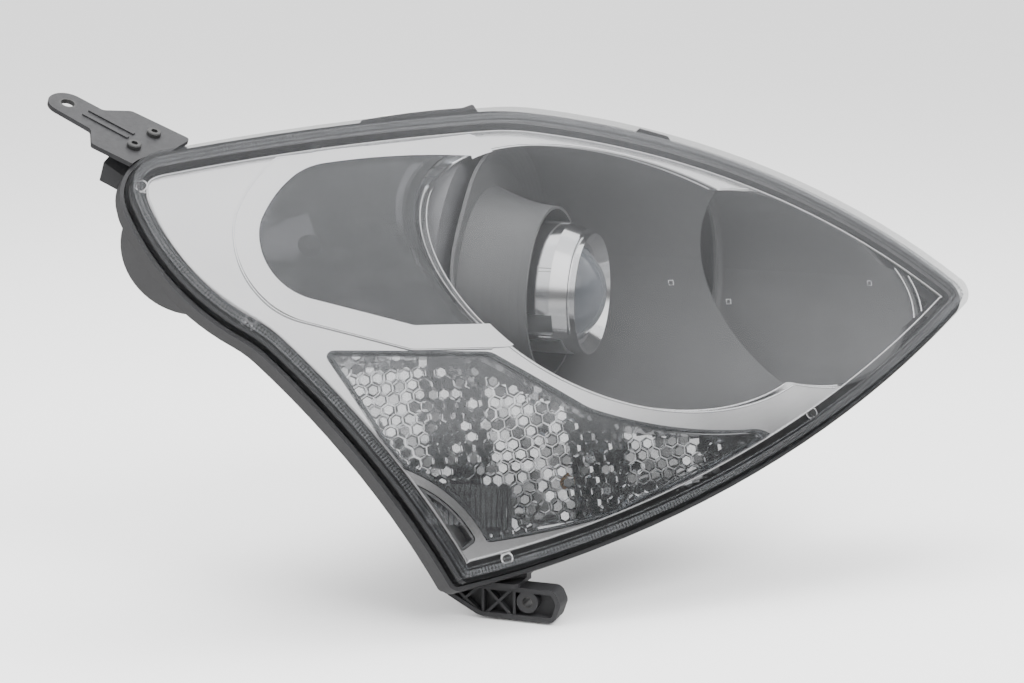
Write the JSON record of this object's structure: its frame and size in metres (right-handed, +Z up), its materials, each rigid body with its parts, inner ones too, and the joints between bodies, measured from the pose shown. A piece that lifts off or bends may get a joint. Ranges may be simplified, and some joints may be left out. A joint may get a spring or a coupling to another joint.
{
  "type": "car headlight assembly",
  "caption": "Right-hand car headlight with projector low beam, dish high beam, side lamp, turn signal, tilting beam carrier, screw adjuster and twist-off rear covers.",
  "frame": {"origin": "centre of the bolt hole in the lower bracket", "axes": "-Y is the way the light shines, +X is towards the middle of the car, +Z is up"},
  "size_m": [0.3715, 0.54, 0.3253],
  "materials": {
    "black_plastic": "fine moulded grain",
    "clear_cover": "clear hard-coated polycarbonate",
    "sealant": "matt",
    "satin_chrome": "satin metallised",
    "black_screw": "black zinc",
    "screw_steel": "zinc plated",
    "dark_trim": "satin dark grey",
    "mirror_coat": "vacuum-metallised",
    "smoked_lens": "smoked polycarbonate",
    "clear_lens": "clear polycarbonate",
    "rubber": "matt",
    "bulb_glass": "clear",
    "amber_glass": "amber",
    "brass": "tinned contact",
    "bulb_metal": "stamped",
    "cast_metal": "as cast",
    "white_nylon": "moulded",
    "gearbox_grey": "moulded",
    "projector_glass": "polished",
    "shroud_chrome": "bright metallised",
    "spring_steel": "drawn wire"
  },
  "bodies": {
    "lamp_body": {"housing": "black_plastic", "lens_cover": "clear_cover", "lens_seal": "sealant", "bezel": "satin_chrome", "bezel_screws": "black_screw", "low_beam_bowl": "dark_trim", "high_beam_bowl": "dark_trim", "side_lamp_reflector": "mirror_coat", "side_lamp_lens": "smoked_lens", "side_lamp_rim": "clear_lens", "turn_signal_reflector": "mirror_coat", "turn_signal_lens": "clear_lens", "side_marker_pocket": "dark_trim", "upper_arm": "black_plastic", "arm_bush": "black_screw", "arm_screws": "black_screw", "lower_bracket": "black_plastic", "bracket_bush": "black_screw", "bracket_screws": "screw_steel", "breather_cap": "rubber", "connector_inlet": "gearbox_grey", "connector_blades": "brass", "pivot_studs": "screw_steel", "adjuster_housing": "gearbox_grey", "adjuster_cover": "gearbox_grey", "adjuster_box_screws": "screw_steel"},
    "carrier": {"carrier_frame": "gearbox_grey", "pivot_sockets": "white_nylon", "adjuster_socket": "white_nylon", "projector_lens": "projector_glass", "lens_holder": "cast_metal", "projector_shroud": "shroud_chrome", "projector_trim_ring": "shroud_chrome", "cut_off_shield": "screw_steel", "projector_reflector": "cast_metal", "projector_screws": "screw_steel", "low_beam_bulb": "bulb_glass", "low_beam_bulb_base": "bulb_metal", "high_beam_reflector": "mirror_coat", "high_beam_bulb": "bulb_glass", "high_beam_bulb_base": "bulb_metal", "high_beam_bulb_shield": "shroud_chrome"},
    "bulb_clip": {"bulb_clip": "spring_steel"},
    "low_cap": {"low_beam_cap": "black_plastic", "low_beam_cap_seal": "rubber"},
    "high_cap": {"high_beam_cap": "black_plastic", "high_beam_cap_seal": "rubber"},
    "turn_socket": {"turn_signal_socket": "gearbox_grey", "turn_signal_bulb": "amber_glass"},
    "side_socket": {"side_lamp_socket": "gearbox_grey", "side_lamp_bulb": "bulb_glass"},
    "pinion": {"adjuster_pinion": "white_nylon"},
    "nut": {"adjuster_nut": "white_nylon"},
    "aim_screw": {"adjuster_screw": "screw_steel"}
  },
  "joints": [
    {"name": "aim_tilt", "type": "hinge", "parent": "lamp_body", "child": "carrier", "pos_m": [0.089, 0.081, 0.122], "axis": [1, 0, 0], "range_deg": [-1.5, 1.5]},
    {"name": "aim_screw_slide", "type": "slide", "parent": "lamp_body", "child": "aim_screw", "axis": [0, 1, 0], "range_m": [-0.0035, 0.0035]},
    {"name": "nut_turn", "type": "hinge", "parent": "lamp_body", "child": "nut", "pos_m": [0.101, 0.128, 0.254], "axis": [0, 1, 0], "range_deg": [-830, 830]},
    {"name": "pinion_turn", "type": "hinge", "parent": "lamp_body", "child": "pinion", "pos_m": [0.101, 0.13545, 0.274], "axis": [0, 0, 1], "range_deg": [-1660, 1660]},
    {"name": "bulb_clip_hinge", "type": "hinge", "parent": "carrier", "child": "bulb_clip", "pos_m": [0.089, 0.1167, 0.202], "axis": [1, 0, 0], "range_deg": [0, 88]},
    {"name": "low_cap_twist", "type": "hinge", "parent": "lamp_body", "child": "low_cap", "pos_m": [0.089, 0.161, 0.181], "axis": [0, -1, 0], "range_deg": [0, 30]},
    {"name": "high_cap_twist", "type": "hinge", "parent": "lamp_body", "child": "high_cap", "pos_m": [0.191, 0.136, 0.18], "axis": [0, -1, 0], "range_deg": [0, 30]},
    {"name": "turn_socket_twist", "type": "hinge", "parent": "lamp_body", "child": "turn_socket", "pos_m": [0.05593, 0.01001, 0.05624], "axis": [-0.706, -0.5883, 0.3942], "range_deg": [0, 45]},
    {"name": "side_socket_twist", "type": "hinge", "parent": "lamp_body", "child": "side_socket", "pos_m": [0.01402, 0.16253, 0.2088], "axis": [-0.706, -0.5883, 0.3942], "range_deg": [0, 45]}
  ],
  "couplings": [
    {"joint": "aim_screw_slide", "follows": "aim_tilt", "m_per_rad": -0.132},
    {"joint": "nut_turn", "follows": "aim_tilt", "ratio": 552.92},
    {"joint": "pinion_turn", "follows": "aim_tilt", "ratio": 1105.8}
  ]
}
